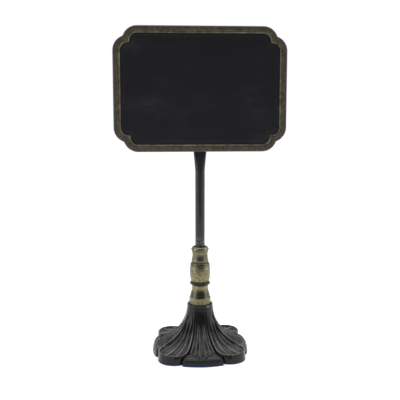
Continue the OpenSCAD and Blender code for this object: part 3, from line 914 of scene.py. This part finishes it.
def core_slope(travel, reach, phi):
    """Radii and heights of one row down the core's falling surface, with its carving."""
    r, z, slope = flow(travel, MID_FLOW, MID_FAR)
    from_edge = np.clip(reach - EDGE_IN - r, 0, None)
    lip = 0.75 * np.exp(-((from_edge - 0.6) / 0.55) ** 2) - 0.35 * np.exp(-((from_edge - 2.2) / 0.6) ** 2)
    # the core sinks where a leaf lies on it, so that it never shows through the leaf's flutes
    off_leaf = math.pi / 4 - np.abs(phi)
    under = leaf_inside(r * np.cos(off_leaf), r * np.sin(off_leaf))
    sink = 2.2 * smooth(under, 0.3, 1.3) * smooth(r, CUP_R + 0.5, CUP_R + 5)
    carving = mid_relief(r, np.degrees(np.abs(phi)))
    rise = carving + lip * (1 - smooth(under, -0.5, 0.3)) - sink
    return r + rise * np.cos(slope), z + rise * np.sin(slope)


def core_points():
    """Rows of the base's core from the cup's rim to the ground, one ring of points per row."""
    turns = turns_around()
    phi = off_middle(turns)
    reach = mid_reach(phi)
    rings = [(CUP_BORE_R - 2, CUP_TOP - 1)] + arc(CUP_R - 0.7, CUP_TOP - 0.7, 0.7, 150, 0, 8)
    rings += [(CUP_R, z) for z in np.linspace(CUP_TOP - 1.4, FLOW_TOP, 4)]
    total = np.array([travel_to(x - EDGE_IN, MID_FLOW) for x in reach])
    rings += [core_slope(total * share, reach, phi) for share in np.linspace(0, 1, 120)[1:]]
    edge = rings[-1][1]
    for out, drop, flare in ((-0.75, 0.10, 0), (-0.45, 0.45, 0.1), (-0.40, 0.9, 0.25), (-0.75, 1.3, 0.4),
                             (-0.72, 1.6, 0.5), (-0.15, 1.95, 0.7), (0.0, 2.3, 0.8)):
        rings.append((mid_reach(phi, MID_HALF_W + MID_FLARE * flare) + out, edge - drop))
    rings.append((mid_reach(phi, MID_HALF_W + MID_FLARE), PAD_TOP))
    level = np.zeros(len(turns))
    return np.array([np.column_stack([r * np.cos(turns), r * np.sin(turns), z + level]) for r, z in rings])


def build_core():
    """The cup, the smaller sections and everything under the leaves, as one closed body."""
    rows = core_points()
    n, cols = rows.shape[:2]
    points = np.vstack([rows.reshape(-1, 3), [[0, 0, CUP_TOP - 1]], [[0, 0, PAD_TOP]]])
    faces = grid_faces(n, cols, around=True)
    for j in range(cols):
        k = (j + 1) % cols
        faces.append((k, j, n * cols))
        faces.append(((n - 1) * cols + j, (n - 1) * cols + k, n * cols + 1))
    return add_mesh("base_casting_look", points, faces)


def build_hollow():
    """Everything that is cut out of the base from above and below, as one turned tool."""
    socket_floor, _ = span("guide_sleeve", Z)
    web = span("base_washer", Z)[1]
    inner = MID_FLOW + 3.5
    start = math.degrees(math.acos(math.sqrt(1 - ((FLOW_TOP - web) / inner) ** 2)))
    stop = math.degrees(math.acos((CUP_R + MID_FLOW - HOLLOW_R) / inner))
    under = [(CUP_R + MID_FLOW - inner * math.cos(math.radians(a)),
              FLOW_TOP - inner * math.sin(math.radians(a))) for a in np.linspace(start, stop, 16)]
    outline = [(0, CUP_TOP + 5), (CUP_BORE_R, CUP_TOP + 5), (CUP_BORE_R, CUP_FLOOR),
               (BORE_R, CUP_FLOOR), (BORE_R, socket_floor),
               (STUD_HOLE_R, socket_floor), (STUD_HOLE_R, web)] + under
    outline += [(HOLLOW_R, -1), (0, -1)]
    return lathe("hollow", outline, 96)


def local_leaf(co):
    """Points turned into the frame of the leaf that they belong to, along +X."""
    angle = np.arctan2(co[:, 1], co[:, 0])
    own = (angle % (math.pi / 2)) - math.pi / 4
    r = np.hypot(co[:, 0], co[:, 1])
    return r * np.cos(own), r * np.sin(own), r


def base_wear(obj):
    """1 on the crests of the leaves' borders and of the cup's rim, where the enamel is rubbed."""
    co = mesh_points(obj)
    x, y, r = local_leaf(co)
    inside = leaf_inside(x, y)
    crest = np.exp(-((inside - 0.6) / 0.6) ** 2) * smooth(r, 24, 34)
    _, plain, _ = flow(np.array([travel_to(v, LOBE_FLOW) for v in r]), LOBE_FLOW, LOBE_DIST + LOBE_R)
    high = smooth(co[:, 2] - plain, -0.1, 0.6)
    rim = smooth(co[:, 2], CUP_TOP - 0.9, CUP_TOP - 0.1)
    return np.clip(crest * high + 0.35 * rim, 0, 1)


def base_crests(obj):
    """1 where the enamel gets a painted highlight: the leaves' ridges and borders, the petals' backs; and a
    real paint chip on the rim.
    """
    co = mesh_points(obj)
    x, y, r = local_leaf(co)
    inside = leaf_inside(x, y)
    away = np.abs(np.degrees(np.arctan2(y, x)))
    from_ridge = np.minimum(away, np.abs(away - RIDGE_TURN)) * np.pi / 180 * r
    ridge = np.exp(-(from_ridge / 0.6) ** 2) * smooth(inside, 1.8, 3.2) * smooth(r, 15, 26)
    border = 0.8 * np.exp(-((inside - 0.8) / 0.5) ** 2) * smooth(r, 15, 24)
    from_mid = 45 - away
    petal = np.max([np.exp(-((from_mid - turn) / width) ** 2)
                    for turn, width in ((4.6, 1.0), (10.8, 0.9), (16.6, 0.9))], axis=0)
    petal = 0.42 * petal * smooth(r, 14, 22) * (1 - smooth(r, 37, 40)) * (inside < 0)
    chip = np.linalg.norm(co - (6.8, -10.1, CUP_TOP - 0.6), axis=1)
    return np.clip(ridge + border + petal + 0.6 * smooth(2.2 - chip, 0, 1), 0, 1)


def build_base(material):
    """The fluted casting: core, leaves, hollow underside and its pockets, in one closed mesh."""
    casting = cut(build_core(), build_leaves(), "UNION")
    cut(casting, build_hollow())
    for place in quarter_turns(np.array([[LOBE_DIST, 0, 0]]), 45):
        pocket = lathe("pocket", [(0, -1), (10, -1), (10, 4.4), (9.4, 5), (0, 5)], 48)
        pocket.location = (place[0] * MM).tolist()
        bpy.context.view_layer.update()
        cut(casting, pocket)
    set_attribute(casting, "wear", base_wear(casting))
    # crest carries the painted highlights on ridges, borders and petal backs, and the real rim chip
    set_attribute(casting, "crest", base_crests(casting))
    finish_piece(casting, BASE, material, "base_casting", sharp=38)


def build_pad(material):
    """Felt cut to the casting's outline, standing a hair proud of it."""
    steps = 720
    turns = np.arange(steps) * 2 * math.pi / steps
    own = (turns % (math.pi / 2)) - math.pi / 4
    under_root = LOBE_R ** 2 - (LOBE_DIST * np.sin(own)) ** 2
    lobe = np.where(under_root > 0, LOBE_DIST * np.cos(own) + np.sqrt(np.maximum(under_root, 0)), 0)
    reach = np.maximum(mid_reach(off_middle(turns), MID_HALF_W + MID_FLARE), lobe)
    proud = np.array([0.10, 0.35, 0.35, 0.10])
    heights = [0.0, 0.25, PAD_TOP - 0.2, PAD_TOP]
    points = []
    for out, z in zip(proud, heights):
        fuzz = [0.08 * noise.noise(Vector((math.cos(t) * 60, math.sin(t) * 60, z))) for t in turns]
        r = reach + out + np.array(fuzz)
        points += [(a * math.cos(t), a * math.sin(t), z) for a, t in zip(r, turns)]
    pad = add_mesh("base_pad_look", points, capped_faces(len(heights), steps))
    finish_piece(pad, BASE, material, "base_pad")


# ---- CAD nodes that stay


def paint_node(name, material, bevel=0.0):
    """A carried-over CAD node gets its material, and eased edges where it shows."""
    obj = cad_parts[name]
    obj.data.materials.clear()
    obj.data.materials.append(material)
    obj.data.shade_smooth()
    obj.data.set_sharp_from_angle(angle=math.radians(30))
    if bevel:
        ease = obj.modifiers.new("eased_edges", "BEVEL")
        ease.width = bevel * MM
        ease.segments = 2
        ease.limit_method = "ANGLE"


# ---- stage


def add_light(name, place, target, size, power):
    data = bpy.data.lights.new(name, "AREA")
    data.shape = "RECTANGLE"
    data.size, data.size_y = size
    data.energy = power
    lamp = add_object(name, data)
    lamp.location = place
    lamp.rotation_mode = "QUATERNION"
    lamp.rotation_quaternion = (Vector(target) - Vector(place)).to_track_quat("-Z", "Y")


def stage_paint(name, grey, glow):
    """A plain grey paint with some light of its own."""
    paint = bpy.data.materials.new(name)
    paint.use_nodes = True
    bsdf = paint.node_tree.nodes["Principled BSDF"]
    bsdf.inputs["Base Color"].default_value = (grey, grey, grey, 1)
    bsdf.inputs["Roughness"].default_value = 0.8
    bsdf.inputs["Emission Color"].default_value = (1, 1, 1, 1)
    bsdf.inputs["Emission Strength"].default_value = glow
    return paint


def build_floor():
    """Pale table top with a little light of its own, so that it stays white."""
    front, far = -450, 5000
    corners = [(-far, front, 0), (far, front, 0), (far, far, 0), (-far, far, 0)]
    floor = add_mesh("floor", corners, [(0, 1, 2, 3)])
    floor.data.materials.append(stage_paint("floor_paint", 0.85, 0.30))


def build_world():
    """Surroundings that are white behind and beside the object and dim in front of it."""
    world = bpy.data.worlds.new("studio")
    bpy.context.scene.world = world
    world.use_nodes = True
    tree = world.node_tree
    background = tree.nodes["Background"]
    coords = tree.nodes.new("ShaderNodeTexCoord")
    split = tree.nodes.new("ShaderNodeSeparateXYZ")
    tree.links.new(coords.outputs["Generated"], split.inputs[0])
    fall = tree.nodes.new("ShaderNodeMapRange")
    fall.interpolation_type = "SMOOTHSTEP"
    limits = {"From Min": -0.9, "From Max": -0.1, "To Min": 0.05, "To Max": 1.02}
    for socket, value in limits.items():
        fall.inputs[socket].default_value = value
    tree.links.new(split.outputs["Y"], fall.inputs["Value"])
    tree.links.new(fall.outputs[0], background.inputs["Strength"])
    background.inputs["Color"].default_value = (1.0, 1.0, 1.0, 1)


def build_backdrop():
    """White shell far round the scene, seen behind the object but lighting nothing."""
    far = 8000
    turns = np.linspace(0, math.pi, 25)
    shell = lathe("backdrop", [(far * math.sin(t), far * math.cos(t)) for t in turns], 48)
    shell.data.materials.append(stage_paint("backdrop_paint", 0.0, 1.0))
    for ray in ("diffuse", "glossy", "transmission", "shadow"):
        setattr(shell, "visible_" + ray, False)


def build_stage():
    """Floor, backdrop, surroundings and three soft lights."""
    bpy.context.scene.view_settings.view_transform = "Standard"
    build_floor()
    build_backdrop()
    build_world()
    middle = (0, 0, 0.15)
    add_light("left_soft", (-0.9, -0.3, 0.5), middle, (0.4, 0.8), 3)
    add_light("right_soft", (0.9, -0.2, 0.5), middle, (0.4, 0.8), 3)
    add_light("top_soft", (0.0, 0.1, 1.2), middle, (0.7, 0.7), 5)


def build_camera():
    """Camera a little to the reader's left, level with the lower half of the board."""
    azimuth = math.radians(-3.82)
    pitch = math.radians(7.14)
    distance, height = 0.580, 0.232
    data = bpy.data.cameras.new("camera")
    data.lens = 56.5
    data.sensor_width = 36
    data.shift_y = -0.04
    data.clip_start = 0.01
    camera = add_object("camera", data)
    camera.location = (math.sin(azimuth) * distance, -math.cos(azimuth) * distance, height)
    camera.rotation_euler = (math.pi / 2 - pitch, 0, azimuth)
    bpy.context.scene.camera = camera


# ---- making

build_stage()
build_camera()

zinc = plated_steel("zinc_plate", (0.42, 0.42, 0.41), (0.62, 0.62, 0.60), 0.24)
plain = plated_steel("plain_steel", (0.28, 0.28, 0.28), (0.42, 0.42, 0.42), 0.32)
warm = plated_steel("thrust_brass", (0.42, 0.31, 0.13), (0.62, 0.48, 0.24), 0.28)

build_sign_frame(antique_gold())
build_panel(chalkboard())
build_post(black_post_paint())
build_strap(powder_coat())
build_clips(zinc)
build_screws(zinc)
build_collar(antique_brass(), rubbed_black_ring())
build_base(black_enamel())
build_pad(navy_felt())

paint_node("backing_board", hardboard())
paint_node("thrust_washer", warm)
for name in ("post_plug", "spring_washer", "guide_sleeve"):
    paint_node(name, plain)
for name, bevel in (("post_screw_washers", 0.12), ("post_stud", 0), ("stud_nut", 0.2), ("base_washer", 0.1)):
    paint_node(name, zinc, bevel)
